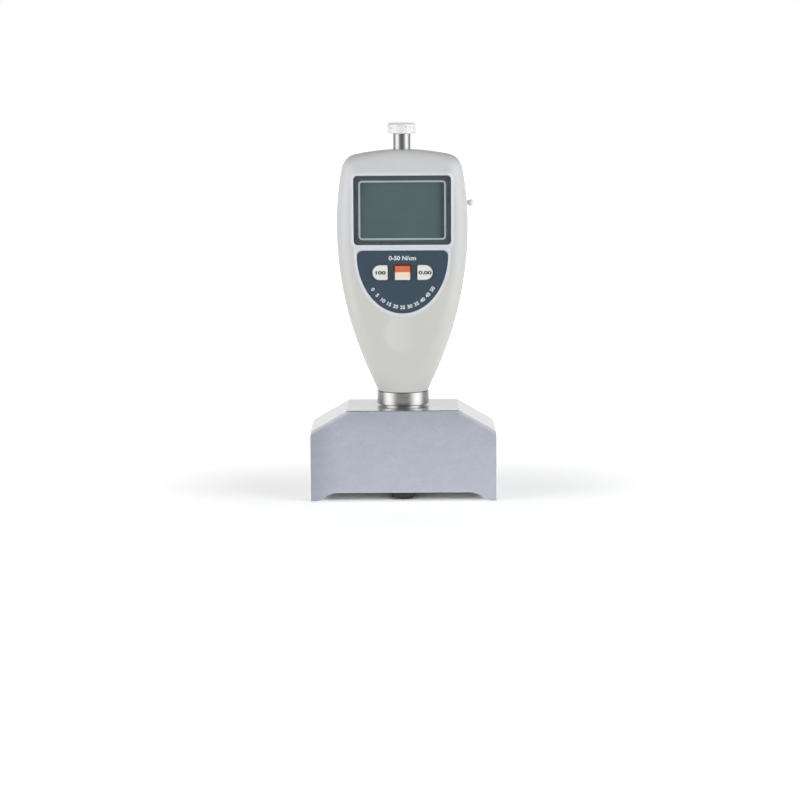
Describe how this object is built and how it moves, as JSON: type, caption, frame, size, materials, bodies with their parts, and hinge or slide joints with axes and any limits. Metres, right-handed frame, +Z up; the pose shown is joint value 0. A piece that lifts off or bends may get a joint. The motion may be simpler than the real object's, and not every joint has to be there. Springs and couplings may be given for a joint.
{
  "type": "screen tension meter",
  "caption": "Hand-held digital meter on an aluminium two-foot base with a central sprung measuring bar, for the tension of a stretched screen mesh.",
  "frame": {"origin": "on the resting plane, under the middle of the base", "axes": "+Z up along the meter, +X to the right seen from the display, the display looks along -Y"},
  "size_m": [0.0936, 0.044, 0.1876],
  "materials": {
    "base_metal": "satin cast and machined aluminium",
    "bronze": "sintered bronze",
    "turned_steel": "turned and brushed",
    "polished_steel": "polished",
    "bar_steel": "ground",
    "screw_steel": "plated",
    "spring_steel": "drawn wire",
    "contact_steel": "nickel plated strip",
    "knob_metal": "fine turned, fluted rim",
    "core_ferrite": "sintered ferrite",
    "coil": "potted winding",
    "housing_plastic": "satin moulded, light grey",
    "key_plastic": "satin ivory",
    "label_print": "printed slate blue sheet",
    "mask_print": "dark printed sheet",
    "clear_lens": "clear polished sheet",
    "lcd": "liquid crystal cell, unlit",
    "rubber_strip": "striped connector rubber",
    "holder_plastic": "moulded",
    "board": "green laminate",
    "chip_plastic": "black moulding",
    "cell_jacket": "plain dark sleeve"
  },
  "bodies": {
    "root": {"base_block": "base_metal", "lower_bush": "bronze", "upper_bush": "bronze", "neck_collar": "turned_steel", "sensor_coil": "coil", "front_shell": "housing_plastic", "rear_shell": "housing_plastic", "shell_screws": "screw_steel", "display_lens": "clear_lens", "display_mask": "mask_print", "lcd_module": "lcd", "zebra_strips": "rubber_strip", "lcd_holder": "holder_plastic", "circuit_board": "board", "board_chips": "chip_plastic", "board_screws": "screw_steel", "tact_switches": "chip_plastic", "keypad_label": "label_print", "top_stem": "polished_steel", "strap_stud": "polished_steel", "battery_contacts": "contact_steel", "return_spring": "spring_steel", "battery_cell_1": "cell_jacket", "battery_cell_2": "cell_jacket", "battery_cell_3": "cell_jacket", "battery_cell_4": "cell_jacket"},
    "probe": {"measuring_bar": "bar_steel", "guide_pins": "polished_steel", "probe_shaft": "polished_steel", "sensor_core": "core_ferrite", "spring_seat": "screw_steel"},
    "key_left": {"key_left": "key_plastic", "plunger_left": "chip_plastic"},
    "key_power": {"key_power": "key_plastic", "plunger_power": "chip_plastic"},
    "key_right": {"key_right": "key_plastic", "plunger_right": "chip_plastic"},
    "battery_cover": {"battery_cover": "housing_plastic"},
    "thumb_knob": {"thumb_knob": "knob_metal"}
  },
  "joints": [
    {"name": "probe_slide", "type": "slide", "parent": "root", "child": "probe", "axis": [0, 0, -1], "range_m": [0, 0.0025], "stiffness_N_per_m": 300, "springref_m": 0.0025, "deforming": ["return_spring"]},
    {"name": "key_left_press", "type": "slide", "parent": "root", "child": "key_left", "axis": [0, 1, 0], "range_m": [0, 0.0007], "stiffness_N_per_m": 500},
    {"name": "key_power_press", "type": "slide", "parent": "root", "child": "key_power", "axis": [0, 1, 0], "range_m": [0, 0.0007], "stiffness_N_per_m": 500},
    {"name": "key_right_press", "type": "slide", "parent": "root", "child": "key_right", "axis": [0, 1, 0], "range_m": [0, 0.0007], "stiffness_N_per_m": 500},
    {"name": "battery_cover_slide", "type": "slide", "parent": "root", "child": "battery_cover", "axis": [0, 0, 1], "range_m": [0, 0.062]},
    {"name": "thumb_knob_turn", "type": "hinge", "parent": "root", "child": "thumb_knob", "pos_m": [0, 0, 0.185], "axis": [0, 0, 1], "continuous": true}
  ]
}
